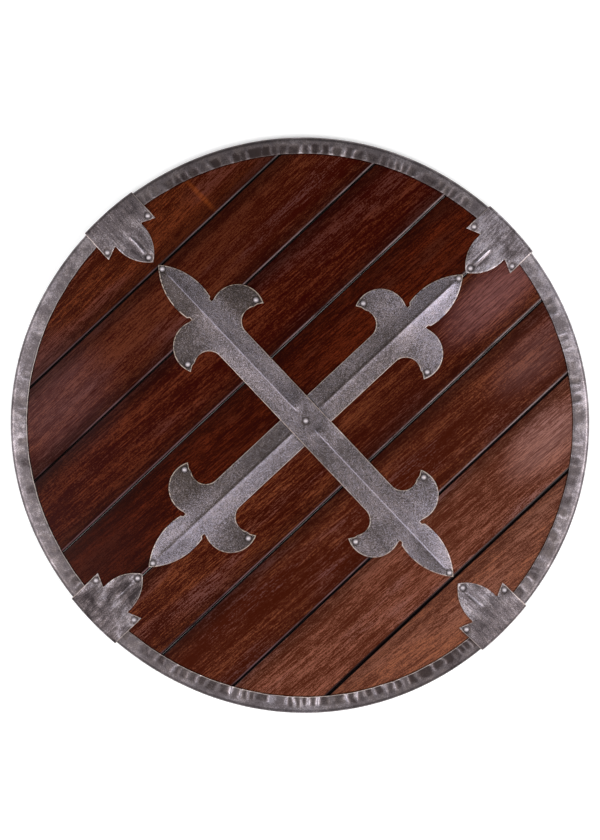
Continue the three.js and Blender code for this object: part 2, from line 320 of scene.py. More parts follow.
def setUpLights():
    for box in studio["softboxes"]:
        lamp = bpy.data.lights.new(box["name"], "AREA")
        lamp.size = box["size"]
        lamp.energy = box["power"]
        holder = bpy.data.objects.new(box["name"], lamp)
        holder.location = box["at"]
        holder.rotation_euler = (-Vector(box["at"])).to_track_quat("-Z", "Y").to_euler()
        scene.collection.objects.link(holder)

    world = Finish(bpy.data.worlds.new("studio"))
    outward = world.add("ShaderNodeTexCoord", {}, {}, "Generated")
    upward = world.add("ShaderNodeSeparateXYZ", {}, {0: outward}, "Z")
    brightness = world.add("ShaderNodeMapRange", {"interpolation_type": "SMOOTHSTEP"}, {
        "Value": upward, "From Max": studio["zenithFrom"],
        "To Min": studio["horizon"], "To Max": studio["zenith"]})
    around = world.add("ShaderNodeBackground", {}, {"Color": (1, 1, 1, 1), "Strength": brightness})
    world.add("ShaderNodeOutputWorld", {}, {"Surface": around})
    scene.world = world.owner


def layFloor():
    bm = bmesh.new()
    bmesh.ops.create_grid(bm, x_segments=1, y_segments=1, size=studio["floorSize"] / 2)
    mesh = bpy.data.meshes.new("floor")
    bm.to_mesh(mesh)
    bm.free()
    finish = Finish(bpy.data.materials.new("paleFloor"))
    surface = finish.add("ShaderNodeBsdfDiffuse", {}, {"Color": (*studio["floorColour"], 1)})
    glow = finish.add("ShaderNodeEmission", {}, {"Strength": studio["floorGlow"]})
    surface = finish.add("ShaderNodeAddShader", {}, {0: surface, 1: glow})
    finish.add("ShaderNodeOutputMaterial", {}, {"Surface": surface})
    mesh.materials.append(finish.owner)
    floor = bpy.data.objects.new("floor", mesh)
    scene.collection.objects.link(floor)


setUpCamera()
setUpLights()
layFloor()
scene.view_settings.view_transform = "Standard"
scene.view_settings.look = "None"
print("camera, light and floor are set up")

# ---- planks ----
planks = {
    "count": 8,
    "pitch": 75.6 * mm,
    "middleGroove": 2.3 * mm,  # how far the middle groove lies off the centre
    "bearing": math.radians(43),
    "discRadius": 302.6 * mm,
    "discSteps": 240,
    "edgeDrop": 1.3 * mm,  # the rounded long edges sink this far into the groove
    "lowerRound": 3.8 * mm,
    "upperRound": 2 * mm,
    "roundCuts": (0.1, 0.22, 0.38, 0.58, 0.8, 1.05),  # shares of a rounding's width
    "faceCuts": (5, 7.5, 10, 12.5, 15, 17.5, 20),  # in mm from a long edge
    "edgeReach": 5 * mm,  # the rounding and the waver end inside this distance
    "backRound": 0.7 * mm,
    "station": 9 * mm,
    "waver": 0.12 * mm,  # of the long edges
    "waverLengths": ((60 * mm, 1, 3.7, 0), (21 * mm, 0.4, 5.1, 4)),  # length, share, and where each starts
    "rimDark": (286.2 * mm, 288.6 * mm),  # the painted shadow of the band's lip on the wood
    "shadowReach": (4 * mm, 20 * mm),  # the painted shade along the grooves fades out between these distances
    "grainDepth": 30 * mm,
    "grainShift": (0.37, 0.53, 0.29),  # every plank is cut from another part of the wood
    "streaks": {  # length and width in mm, detail, roughness and warp
        "figure": (42, 17, 3, 0.55, 0.6),
        "broad": (160, 12, 3, 0.55, 0.2),
        "fine": (60, 1.7, 3, 0.65, 0.2),
        "fibre": (12, 0.8, 2, 0.65, 0),
        "sweep": (240, 52, 2, 0.5, 0.3),
        "fleck": (1.5, 1.1, 1, 0.5, 0),
        "pores": (9, 0.8, 1, 0.5, 0),
        "haze": (140, 30, 2, 0.5, 0),
        "sheen": (60, 20, 3, 0.6, 0),
    },
    "tone": {"broad": 1.5, "fine": 2, "fibre": 2.8, "figure": 0.8, "sweep": 0.8, "fleck": 1.8},
    "usualTone": 0.44,
    "poreStrength": 0.45,
    "stains": {  # colour and strength; shadow and rim are painted shade, shine a painted highlight
        "shadow": ((15, 3, 2), 1),
        "rim": ((12, 4, 4), 0.85),
        "soot": ((24, 8, 8), 1),
        "shine": ((116, 86, 90), 0.72),
        "groove": ((10, 4, 4), 1),
    },
    "coat": 0.12,
    "glowDepth": 8 * mm,  # the glows don't reach the back
    # darker and warmer areas of the wood's colour, of which the narrow one is an orange slash, and paler
    # areas that are a painted sheen, where the lacquer reflects the light; in mm
    "glows": (
        {"at": (-205, -130), "bearing": 43, "size": (80, 60), "colour": (42, 12, 8), "amount": 0.55},
        {"at": (-184, 88), "bearing": 43, "size": (100, 55), "colour": (50, 15, 9), "amount": 0.4},
        {"at": (-74, 204), "bearing": 43, "size": (150, 80), "colour": (46, 9, 2), "amount": 0.5},
        {"at": (96, 8), "bearing": 43, "size": (130, 75), "colour": (48, 13, 6), "amount": 0.4},
        {"at": (-105, 243), "bearing": -46, "size": (38, 4.2), "colour": (122, 57, 24), "amount": 0.65},
        {"at": (-262, 30), "bearing": 42, "size": (90, 85), "colour": (98, 66, 66), "amount": 0.45},
        {"at": (205, 138), "bearing": 43, "size": (95, 38), "colour": (122, 80, 78), "amount": 0.7},
        {"at": (247, 72), "bearing": 43, "size": (75, 34), "colour": (124, 88, 84), "amount": 0.3},
        {"at": (262, -17), "bearing": 43, "size": (75, 36), "colour": (148, 106, 98), "amount": 0.55},
    ),
    # colours, the last of them that of a painted sheen; the way the grain runs; how shiny the lower long
    # edge is, with a painted highlight, and how dark its rounding is; then, for the lower and the upper
    # long edge, the width in mm of the black line and the strength of the painted shadow
    "woods": (
        {"dark": (45, 7, 1), "usual": (60, 23, 9), "light": (97, 43, 22), "hazy": (87, 45, 36),
         "grain": 45.5, "lip": 0.5, "soot": 0.85, "groove": (1.8, 1.2), "shadows": (0.45, 0)},
        {"dark": (44, 5, 1), "usual": (61, 22, 10), "light": (96, 47, 29), "hazy": (86, 49, 45),
         "grain": 42.6, "lip": 0.6, "soot": 0.5, "groove": (1.2, 1.7), "shadows": (0.5, 0.55)},
        {"dark": (40, 3, 1), "usual": (53, 14, 4), "light": (85, 36, 20), "hazy": (76, 38, 32),
         "grain": 40.6, "lip": 0.7, "soot": 0.5, "groove": (1.1, 1.5), "shadows": (0.45, 0.6)},
        {"dark": (34, 3, 1), "usual": (49, 12, 2), "light": (80, 28, 12), "hazy": (63, 27, 17),
         "grain": 40.1, "lip": 1, "soot": 0.5, "groove": (1.3, 1.5), "shadows": (0.5, 0.45)},
        {"dark": (44, 7, 1), "usual": (65, 24, 12), "light": (105, 53, 31), "hazy": (94, 56, 50),
         "grain": 40.9, "lip": 0.8, "soot": 0.65, "groove": (1.6, 1.6), "shadows": (0.35, 0.45)},
        {"dark": (54, 14, 3), "usual": (67, 27, 16), "light": (101, 52, 32), "hazy": (91, 55, 51),
         "grain": 40.2, "lip": 0.8, "soot": 0.6, "groove": (1.6, 2.1), "shadows": (0.2, 0.5)},
        {"dark": (65, 25, 13), "usual": (84, 44, 30), "light": (123, 74, 58), "hazy": (118, 80, 74),
         "grain": 40.2, "lip": 0.3, "soot": 0.95, "groove": (2.6, 1.9), "shadows": (0, 0.4)},
        {"dark": (72, 34, 22), "usual": (96, 56, 42), "light": (131, 78, 55), "hazy": (120, 76, 61),
         "grain": 37.6, "lip": 0, "soot": 0, "groove": (1, 2), "shadows": (0, 0.25)},
    ),
}


def grooveAt(index):  # measured across the planks, from the upper left to the lower right
    return planks["middleGroove"] + (index - planks["count"] / 2) * planks["pitch"]


def grainOf(finish, index, wood):  # every layer of streaks in one plank
    start = tuple(shift * index for shift in planks["grainShift"])
    layers = {}
    for name, (length, width, *look) in planks["streaks"].items():
        size = (length * mm, width * mm, planks["grainDepth"])
        layers[name] = finish.cloud(finish.place(math.radians(wood["grain"]), size, start), *look)
    layers["pores"] = finish.between(layers["pores"], 0.62, 0.72)
    weighted = [(layers[name] - 0.5) * weight for name, weight in planks["tone"].items()]
    layers["tone"] = sum(weighted[1:], weighted[0]) + planks["usualTone"]
    return layers


def glowAt(finish, glow, grain):  # fades outwards, and breaks up along the grain
    size = (glow["size"][0] * mm, glow["size"][1] * mm, planks["glowDepth"])
    at = (glow["at"][0] * mm, glow["at"][1] * mm, shield["face"])
    where = finish.place(math.radians(glow["bearing"]), size, at)
    spot = finish.add("ShaderNodeTexGradient", {"gradient_type": "SPHERICAL"}, {"Vector": where}, 1)
    broken = finish.between(grain["fibre"] * 0.6 + grain["fine"] * 0.4, 0.25, 0.65)
    return finish.between(spot, 0, 0.8) * broken * glow["amount"]


def woodFinish(index, wood):
    finish = Finish(bpy.data.materials.new(f"stainedPlank{index}"))
    grain = grainOf(finish, index, wood)
    tone, fine, fibre, pores = (grain[name] for name in ("tone", "fine", "fibre", "pores"))
    lip = finish.marked("lip")
    # a painted highlight on the rounding of the lower long edge, where it dips into the groove; the coat is
    # glossier there too
    shine = finish.between(lip, 0.25, 0.55) * wood["lip"] * finish.between(grain["sheen"], 0.3, 0.6)
    # a painted shadow of the band's lip, in a ring along the wood's edge
    start, end = planks["rimDark"]
    markMasks = {
        "shadow": finish.marked("shadow"),
        "rim": finish.between(finish.outlineAt() + fine * 1.5 * mm, start, end),
        "soot": finish.between(lip, 0.1, 0.45) * wood["soot"],
        "shine": shine,
        "groove": finish.held(finish.marked("groove") * 1.2),
    }

    colour = finish.ramp(tone, ((0.02, wood["dark"]), (0.5, wood["usual"]), (0.98, wood["light"])))
    # a painted sheen: pale, pinkish clouds of reflected light over the lighter grain
    hazy = finish.between(grain["haze"], 0.5, 0.68) * finish.between(tone, 0.35, 0.85)
    colour = finish.blend(hazy, colour, shade(*wood["hazy"]))
    colour = finish.blend(pores * planks["poreStrength"], colour, shade(*wood["dark"]))
    # darker and warmer patches of the wood's colour, and pale patches of painted sheen
    for glow in planks["glows"]:
        colour = finish.blend(glowAt(finish, glow, grain), colour, shade(*glow["colour"]))
    # in turn: painted shade along the grooves, the painted shadow of the band's lip, the darker rounding, a
    # painted highlight, the dark joint
    for name, (markColour, strength) in planks["stains"].items():
        colour = finish.blend(markMasks[name] * strength, colour, shade(*markColour))

    sockets = {
        "Base Color": colour,
        "Roughness": 0.42 + (fibre - 0.5) * 0.25 + pores * 0.1 - lip * 0.15,
        "Specular IOR Level": 0,
        "Coat Weight": planks["coat"] + shine * 0.5,
        "Coat Roughness": 0.24,
    }
    return finish.finished(sockets, fine * 0.5 + fibre * 0.5 - pores * 0.6, 0.12 * mm, 0.4)


def plankBoard(bm, low, high):  # cut out of the disc between two long edges, and as thick as the board
    top, bottom = shield["face"], shield["back"]
    bmesh.ops.create_circle(bm, cap_ends=True, segments=planks["discSteps"], radius=planks["discRadius"])
    for vertex in bm.verts:
        bearing = math.atan2(vertex.co.y, vertex.co.x) + planks["bearing"]
        vertex.co *= 1 + strayAt(bearing) / planks["discRadius"]
    for edge, outward in ((high, 1), (low, -1)):
        bmesh.ops.bisect_plane(bm, geom=everything(bm), dist=0.01 * mm, plane_co=(0, edge, 0),
                               plane_no=(0, outward, 0), clear_outer=True)
    sliced(bm, (1, 0, 0), steps(-shield["radius"], shield["radius"], planks["station"])[1:-1])
    for edge, inward, width in ((low, 1, planks["lowerRound"]), (high, -1, planks["upperRound"])):
        sliced(bm, (0, 1, 0), [edge + inward * width * share for share in planks["roundCuts"]])
        sliced(bm, (0, 1, 0), [edge + inward * distance * mm for distance in planks["faceCuts"]])
    bmesh.ops.translate(bm, verts=bm.verts[:], vec=(0, 0, top))
    if bm.faces[:][0].normal.z < 0:
        bmesh.ops.reverse_faces(bm, faces=bm.faces[:])
    lower = bmesh.ops.extrude_face_region(bm, geom=bm.faces[:], use_keep_orig=True)["geom"]
    lowerVerts = [g for g in lower if isinstance(g, bmesh.types.BMVert)]
    bmesh.ops.translate(bm, verts=lowerVerts, vec=(0, 0, bottom - top))
    bmesh.ops.recalc_face_normals(bm, faces=bm.faces[:])
    backEdges = [e for e in bm.edges if all(abs(v.co.z - bottom) < 0.01 * mm for v in e.verts)
                 and any(all(abs(v.co.y - side) < 0.05 * mm for v in e.verts) for side in (low, high))]
    bmesh.ops.bevel(bm, geom=backEdges, offset=planks["backRound"], offset_type="OFFSET", affect="EDGES",
                    segments=2, profile=0.5, material=-1)


def makePlank(index, wood):
    low = -grooveAt(index) + shield["gap"] / 2 if index < planks["count"] else -shield["radius"]
    high = -grooveAt(index - 1) - shield["gap"] / 2 if index > 1 else shield["radius"]
    bm = bmesh.new()
    plankBoard(bm, low, high)
    groove, lip, shadow = marks(bm, "groove", "lip", "shadow")
    widths = (planks["lowerRound"], planks["upperRound"])
    edges = list(zip((low, high), (1, -1), widths, wood["groove"], wood["shadows"]))
    for vertex in bm.verts:
        x, y, z = vertex.co
        onFace = z > shield["face"] - 0.01 * mm
        for edge, inward, width, black, strength in edges:
            distance = (y - edge) * inward
            # painted shade along the groove, fading away from it
            dark = strength * (1 - smooth(distance, *planks["shadowReach"]))
            vertex[shadow] = max(vertex[shadow], dark)
            if distance >= planks["edgeReach"]:
                continue
            share = min(1, max(0, 1 - distance / width))
            if onFace:
                vertex.co.z -= planks["edgeDrop"] * (1 - math.sqrt(1 - share**2))
                reach = black * mm
                vertex[groove] = max(vertex[groove], 1 - smooth(distance, 0.3 * reach, reach))
                vertex[lip] = max(vertex[lip], (inward > 0) * share)
            elif distance < 0.05 * mm:
                vertex[groove] = 1
            wave = sum(part * noise.noise(Vector((x / length, index * spread + inward, start)))
                       for length, part, spread, start in planks["waverLengths"])
            vertex.co.y += inward * planks["waver"] * (0.8 + wave) * (1 - smooth(distance, 2 * mm, 5 * mm))
    bm.transform(Matrix.Translation(shield["middle"]) @ Matrix.Rotation(planks["bearing"], 4, "Z"))
    madePiece(f"plank{index}", bm, woodFinish(index, wood), f"plank_{index}", 40)


for index, wood in enumerate(planks["woods"], 1):
    makePlank(index, wood)
print("planks are laid")


# ---- steel ----
def steelFinish(name, values):
    finish = Finish(bpy.data.materials.new(name))
    bearing = values.get("bearing", 0)
    worn, grime = finish.marked("worn"), finish.marked("grime")
    patches = finish.cloud(finish.place(bearing, values["patches"]), 3, 0.55, 0.4)
    mottle = finish.cloud(finish.place(bearing, values["mottle"], (0.3, 0.1, 0.2)), 3, 0.6)
    sand = finish.cloud(finish.place(bearing, values["sand"], (0.1, 0.7, 0.4)), 2, 0.65)
    tone = (patches - 0.5) * values["patchy"] + (mottle - 0.5) * values["mottled"]
    tone = tone + (sand - 0.5) * values["sandy"]
    # wear, and on the bars and clips painted light and shade, brighten or darken the steel; the darkening is
    # painted shade at the rivets, and darker stretches of the band
    tone = finish.held(tone + 0.5 + worn * values["polish"] - grime * 0.45)

    colour = finish.ramp(tone, ((0.0, values["dark"]), (0.5, values["usual"]), (1.0, values["bright"])))
    tinted = finish.blend(1, colour, shade(*values["tint"]), "MULTIPLY")
    colour = finish.blend(finish.between(mottle * 0.6 + patches * 0.4, 0.42, 0.62), colour, tinted)
    edging = finish.between(finish.marked("edge"), 0.05, 0.8) * values["edging"]
    colour = finish.blend(edging * finish.between(mottle, 0.2, 0.5), colour, shade(*values["edge"]))

    sockets = {
        "Base Color": colour,
        "Roughness": values["roughness"] - (tone - 0.5) * 0.18 + (sand - 0.5) * 0.12,
        "Metallic": values["metallic"],
    }
    height = sand * values["sandRelief"] + mottle * (1 - values["sandRelief"])
    return finish.finished(sockets, height, 0.25 * mm, values["relief"])


# ---- band ----
band = {
    "width": 17.4 * mm,
    "bend": 3.5 * mm,
    "bendSteps": 4,
    "faceSteps": 14,
    "quarterTurn": 350,  # steps
    "inside": 0.06 * mm,  # it lies this far inside the largest outline
    "pleats": 168,
    "crimp": 0.42 * mm,  # height of the ridges that hammering left
    "dent": 0.4 * mm,
    "drift": ((34 * mm, 1.1, 0), (9 * mm, 0.25, 1.5)),  # of the pleats: length, amount, and lean
    "swellLength": 21 * mm,
    "lipWaver": 0.45 * mm,
    "lipWaverLength": 16 * mm,
    "wallDent": 0.3 * mm,  # the wall gives way where a ridge is high
    "filed": 0.25 * mm,
    "calm": ((150, 30), (36, 5), (205, 8)),  # bearings of the smooth stretches, and how far they reach
    "busy": ((275, 42), (95, 25)),
    "brightLip": ((190, 40), (272, 40)),
    # the same of the dark stretches, and how dark; one is brighter
    "dull": ((108, 28, 0.55), (62, 14, 0.2), (300, 16, 0.65), (240, 12, 0.3), (212, 12, 0.3),
             (333, 10, 0.3), (28, 14, -0.3)),
    "steel": {
        "dark": (51, 42, 42), "usual": (101, 93, 96), "bright": (182, 175, 187), "tint": (252, 248, 240),
        "patches": (26 * mm, 26 * mm, 26 * mm), "patchy": 0.7,
        "mottle": (5 * mm, 5 * mm, 5 * mm), "mottled": 0.6,
        "sand": (1 * mm, 1 * mm, 1 * mm), "sandy": 0.9,
        "polish": 0.5, "roughness": 0.42, "metallic": 0.9, "sandRelief": 0.5, "relief": 0.18,
        "edge": (186, 172, 166), "edging": 0.9,
    },
}


def apart(bearing, middle):  # degrees between two bearings
    return abs((math.degrees(bearing) - middle + 180) % 360 - 180)


def within(bearing, stretches):  # 1 in the middle of a stretch, fading to nothing
    return max(bump(apart(bearing, middle), reach) for middle, reach in stretches)


def chance(cell, kind):  # a steady number from 0 to 1 for each pleat
    return min(1, max(0, 0.5 + 0.9 * noise.noise(Vector((cell * 1.73, kind * 5.3, 0.4)))))


def pleatsAt(bearing, inward):  # height and wear of the band; inward is 1 at the lip and 0 at the bend
    calm, busy = within(bearing, band["calm"]), within(bearing, band["busy"])
    strength = (1 - 0.9 * calm) * (0.6 + 0.4 * busy)
    ring = Vector((math.cos(bearing), math.sin(bearing), 0)) * shield["radius"]
    count = band["pleats"]
    place = (bearing / (2 * math.pi) % 1) * count
    for length, amount, lean in band["drift"]:
        place += amount * noise.noise(ring / length + Vector((0, 0, inward * lean)))
    cell = math.floor(place) % count
    across = abs(place - math.floor(place) - 0.5) * 2
    reach = 0.5 + 0.3 * chance(cell, 1)
    deep = smooth(chance(cell, 2) + 0.35 * busy, 0.3, 0.75)
    dent = deep * (1 - smooth(across, 0.5, 0.95)) * smooth(inward, 0.85 - reach, 1.1 - reach)
    sharp = smooth(chance(math.floor(place + 0.5) % count, 3) + 0.2 * busy, 0.35, 0.7)
    ridge = sharp * bump(1 - across, 0.32 + 0.2 * (1 - inward)) * smooth(inward, 0.12, 0.5)
    swell = noise.noise(ring / band["swellLength"] + Vector((7, 3, inward * 0.6)))
    raised = ridge - 0.2 + 0.5 * swell * smooth(inward, 0, 0.2)
    height = strength * (band["crimp"] * raised - band["dent"] * dent)
    wear = strength * (0.62 * ridge - 0.65 * dent) + 0.12 * (1 - smooth(inward, 0.15, 0.4)) + 0.25 * swell
    return height, wear


def foldBand(bm):  # a true round strip, drawn in section and turned a quarter at a time
    top, bottom = shield["face"] + layer, shield["back"] - layer
    outside, bend = shield["radius"], band["bend"]
    lip, bendAt = outside - band["width"], outside - bend
    pen = Pen(bm, (lip, 0, top))
    pen.line((bendAt, 0, top), band["faceSteps"])
    pen.arc((bendAt, 0, top - bend), math.pi / 2, band["bendSteps"], (0, 1, 0))
    pen.line((outside, 0, bottom + bend), 2)
    pen.arc((bendAt, 0, bottom + bend), math.pi / 2, band["bendSteps"], (0, 1, 0))
    pen.line((lip, 0, bottom), 3)
    spun(bm, everything(bm), (0, 0, 0), (0, 0, 1), math.pi / 2, band["quarterTurn"])
    mirrored(bm, "X")
    mirrored(bm, "Y")
    bmesh.ops.recalc_face_normals(bm, faces=bm.faces[:])
    if max(bm.faces, key=lambda f: f.calc_center_median().z).normal.z < 0:
        bmesh.ops.reverse_faces(bm, faces=bm.faces[:])


def hammerBand(bm):
    top, bottom = shield["face"] + layer, shield["back"] - layer
    outside = shield["radius"]
    lip, bendAt = outside - band["width"], outside - band["bend"]
    worn, grime = marks(bm, "worn", "grime")
    for vertex in bm.verts:
        x, y, z = vertex.co
        bearing, radius = math.atan2(y, x), math.hypot(x, y)
        inward = max(0, (bendAt - radius) / (bendAt - lip))
        onFace = smooth(z, bottom + 4 * mm, top)
        relief, wear = (onFace * value for value in pleatsAt(bearing, inward))
        lipShare = smooth(inward, 0.6, 1)
        ring = Vector((math.cos(bearing), math.sin(bearing), 0))
        waver = noise.noise(ring * (outside / band["lipWaverLength"]))
        radius += strayAt(bearing) - band["inside"] + lipShare * band["lipWaver"] * waver
        side = -smooth(relief, 0.1 * mm, 0.6 * mm) * band["wallDent"] * (1 - inward)
        vertex.co = (radius * math.cos(bearing) + side * math.cos(bearing),
                     radius * math.sin(bearing) + side * math.sin(bearing), z + relief)
        vertex[worn] = wear
        vertex[grime] = sum(amount * bump(apart(bearing, middle), reach)
                            for middle, reach, amount in band["dull"])


def makeBand():
    bm = bmesh.new()
    foldBand(bm)
    hammerBand(bm)
    edgeEased(bm, band["filed"])
    edge = bm.verts.layers.float["edge"]
    for vertex in [v for v in bm.verts if v.is_boundary]:
        vertex[edge] = 0.25 + 0.75 * within(math.atan2(vertex.co.y, vertex.co.x), band["brightLip"])
    thickened(bm, shield["sheet"])
    bm.transform(Matrix.Translation(shield["middle"]))
    madePiece("edgeBand", bm, steelFinish("hammeredSteel", band["steel"]), "edge_band", 60)
    print("band is folded over the edge")


makeBand()

# ---- bars ----
bars = {
    "halfWidth": 18.8 * mm,
    "reach": 227.2 * mm,  # from the crossing to a leaf's point
    "crease": 3 * mm,
    "creaseHollow": 1.7,  # more makes the slopes hollower and the ridge sharper
    "creaseEnds": (16 * mm, 9.5 * mm),  # it fades out between these distances from a leaf's point
    "ridgeRound": 0.25 * mm,
    "tipRivet": 221.3 * mm,  # places of the rivets, from the crossing
    "lobeRivet": Vector((129.3 * mm, 49.6 * mm, 0)),
    "hollowAt": 112.6 * mm,  # centre of the hollow behind a side lobe
    "hollowRadius": 15.8 * mm,
    "hollowTurn": 124,
    "flick": Vector((125.2 * mm, 47.4 * mm, 0)),
    "spur": Vector((121.5 * mm, 53 * mm, 0)),
    "lobe": Vector((134 * mm, 27.5 * mm, 0)),
    "lobeRadius": 27.7 * mm,
    "lobeEnd": -22,
    "notch": (Vector((160.4 * mm, 14.3 * mm, 0)), Vector((163.8 * mm, 14.3 * mm, 0))),
    "leafAt": 180 * mm,
    "leafStart": 165.5 * mm,
    "leafHalfWidth": 18.2 * mm,
    "rim": 1.3 * mm,
    "filed": 0.22 * mm,
    "grid": 2.4 * mm,
    "ridgeCuts": [0.5 * mm, 2.2 * mm],  # more cuts beside the ridge
    "flankCuts": (1.2 * mm, 20.4 * mm),
    "lobeCuts": (23 * mm, 53 * mm),
    "dimple": (3 * mm, 5.2 * mm),  # from a rivet's middle
    "dimpleDepth": 0.35 * mm,
    # painted shade round each rivet, in its dimple
    "grimeRing": (3.2 * mm, 4.6 * mm),
    # where the painted light and shade of an arm, a leaf and a lobe sets in: along the bar, and across it for
    # the lobe
    "armFrom": (10 * mm, 40 * mm),
    "leafFrom": (115 * mm, 180 * mm),
    "lobeFrom": (13 * mm, 33 * mm),
    # for each bar: where it lies flat under or over the other; the wear, painted highlight and painted shade
    # along its ridge as offset, width and amount; and, as painted light and shade, how much brighter or
    # darker than usual every arm, leaf and lobe is, on each side of the crease
    "upper": {
        "flatHalf": 9 * mm, "flatFade": 11 * mm, "lift": 3.8 * mm,
        "ridge": ((0, 0.5 * mm, 0.95),),
        "arms": {(1, 1): -0.05, (1, -1): 0.02, (-1, 1): -0.1, (-1, -1): -0.1},
        "leaves": {(1, 1): -0.35, (1, -1): 0.05, (-1, 1): 0.15, (-1, -1): 0.35},
        "lobes": {(1, 1): -0.15, (1, -1): -0.65, (-1, 1): -0.1, (-1, -1): 0.05},
    },
    "lower": {
        "flatHalf": 8 * mm, "flatFade": 20 * mm, "lift": 0,
        "ridge": ((-1.2 * mm, 2.2 * mm, 0.3), (1.2 * mm, 1.4 * mm, -0.55)),
        "arms": {(1, 1): -0.2, (1, -1): -0.2, (-1, 1): -0.22, (-1, -1): 0.15},
        "leaves": {(1, 1): 0.35, (1, -1): 0.62, (-1, 1): 0.45, (-1, -1): 0.2},
        "lobes": {(1, 1): 0.05, (1, -1): 0.1, (-1, 1): -0.5, (-1, -1): -0.45},
    },
    "liftHalf": 16 * mm,
    "liftFade": 34 * mm,
    "steel": {
        "dark": (43, 36, 33), "usual": (86, 77, 76), "bright": (164, 158, 175), "tint": (248, 242, 232),
        "patches": (45 * mm, 30 * mm, 30 * mm), "patchy": 0.7,
        "mottle": (4 * mm, 4 * mm, 4 * mm), "mottled": 0.45,
        "sand": (0.65 * mm, 0.65 * mm, 0.65 * mm), "sandy": 2.8,
        "polish": 0.55, "roughness": 0.55, "metallic": 0.9, "sandRelief": 0.8, "relief": 0.18,
        "edge": (206, 186, 172), "edging": 0.62,
    },
}


def leafArc(length, halfWidth, at):  # centre and radius of a leaf's side, from its widest place to its point
    radius = (length**2 + halfWidth**2) / (2 * halfWidth)
    return Vector((at, halfWidth - radius, 0)), radius


def drawBar(bm):  # a quarter of the outline
    top = bars["halfWidth"]
    hollow = Vector((bars["hollowAt"], top + bars["hollowRadius"], 0))
    leaf, radius = leafArc(bars["reach"] - bars["leafAt"], bars["leafHalfWidth"], bars["leafAt"])
    leafStart = bars["leafStart"] - bars["leafAt"]
    pen = Pen(bm, (0, top, 0))
    pen.line((hollow.x, top, 0))
    pen.arcTo(hollow, onCircle(hollow, bars["hollowRadius"], math.radians(bars["hollowTurn"] - 90)), 12)
    pen.line(bars["flick"])
    pen.line(bars["spur"])
    pen.arcTo(bars["lobe"], onCircle(bars["lobe"], bars["lobeRadius"], math.radians(bars["lobeEnd"])), 18)
    for corner in bars["notch"]:
        pen.line(corner)
    pen.line(leaf + Vector((leafStart, math.sqrt(radius**2 - leafStart**2), 0)))
    pen.arcTo(leaf, (bars["reach"], 0, 0), 16)


def barHeight(x, y, values):
    along, side = abs(x), abs(y)
    width, reach = bars["halfWidth"], bars["reach"]
    if along > bars["leafAt"]:
        width *= max(0.25, 1 - ((along - bars["leafAt"]) / (reach - bars["leafAt"])) ** 2)
    soft = math.hypot(side, bars["ridgeRound"]) - bars["ridgeRound"]
    rise = max(0, 1 - soft / width) ** bars["creaseHollow"] * width / bars["halfWidth"]
    rise *= smooth(along, values["flatHalf"], values["flatHalf"] + values["flatFade"])
    rise *= 1 - smooth(along, *(reach - end for end in bars["creaseEnds"]))
    lift = values["lift"] * (1 - smooth(along, bars["liftHalf"], bars["liftHalf"] + bars["liftFade"]))
    return bars["crease"] * rise + lift, rise


def sliceBar(bm):
    reach, grid = bars["reach"], bars["grid"]
    sliced(bm, (1, 0, 0), steps(-reach, reach, grid)[1:-1])
    cuts = bars["ridgeCuts"] + steps(*bars["flankCuts"], grid) + steps(*bars["lobeCuts"], grid)
    sliced(bm, (0, 1, 0), [0] + [side * y for y in cuts for side in (1, -1)])


def shapeBar(bm, values, rivetPlaces):
    worn, grime = marks(bm, "worn", "grime")
    for vertex in bm.verts:
        x, y = vertex.co.xy
        height, rise = barHeight(x, y, values)
        near = nearest(vertex, rivetPlaces)
        vertex.co.z = height - bars["dimpleDepth"] * (1 - smooth(near, *bars["dimple"]))
        # painted shade in the dimple round each rivet
        vertex[grime] = 1 - smooth(near, *bars["grimeRing"])
        end = (1 if x > 0 else -1, 1 if y > 0 else -1)
        # painted light and shade: each side of every arm, leaf and lobe is brighter or darker as the light
        # falls on it
        vertex[worn] = values["arms"][end] * smooth(abs(x), *bars["armFrom"])
        vertex[worn] += values["leaves"][end] * smooth(abs(x), *bars["leafFrom"])
        vertex[worn] += values["lobes"][end] * smooth(abs(y), *bars["lobeFrom"])
        # along the ridge a bright line of wear and painted highlight; beside the lower bar's ridge, a dark
        # line of painted shade
        for offset, width, amount in values["ridge"]:
            vertex[worn] += bump(y - offset, width) * min(1, rise * 1.4) * amount


def makeBar(name, values):
    ends = [middleOf(f"{name}_bar_rivet_{number}") for number in (1, 4)]
    bearing = math.atan2(ends[0].y - ends[1].y, ends[0].x - ends[1].x)
    lobe = bars["lobeRivet"]
    rivetPlaces = [Vector((end * bars["tipRivet"], 0, 0)) for end in (1, -1)]
    rivetPlaces += [Vector((a * lobe.x, b * lobe.y, 0)) for a in (1, -1) for b in (1, -1)]
    if name == "upper":
        rivetPlaces.append(Vector((0, 0, 0)))
    bm = bmesh.new()
    drawBar(bm)
    mirrored(bm, "Y")
    mirrored(bm, "X")
    filled(bm, bars["rim"])
    sliceBar(bm)
    shapeBar(bm, values, rivetPlaces)
    edgeEased(bm, bars["filed"])
    thickened(bm, shield["sheet"])
    place = Matrix.Translation((shield["crossing"].x, shield["crossing"].y, shield["face"] + layer))
    bm.transform(place @ Matrix.Rotation(bearing, 4, "Z"))
    steel = steelFinish(f"{name}BarSteel", {**bars["steel"], "bearing": bearing})
    madePiece(f"{name}Bar", bm, steel, f"{name}_bar", 50)


for name in ("lower", "upper"):
    makeBar(name, bars[name])
print("bars are laid across")

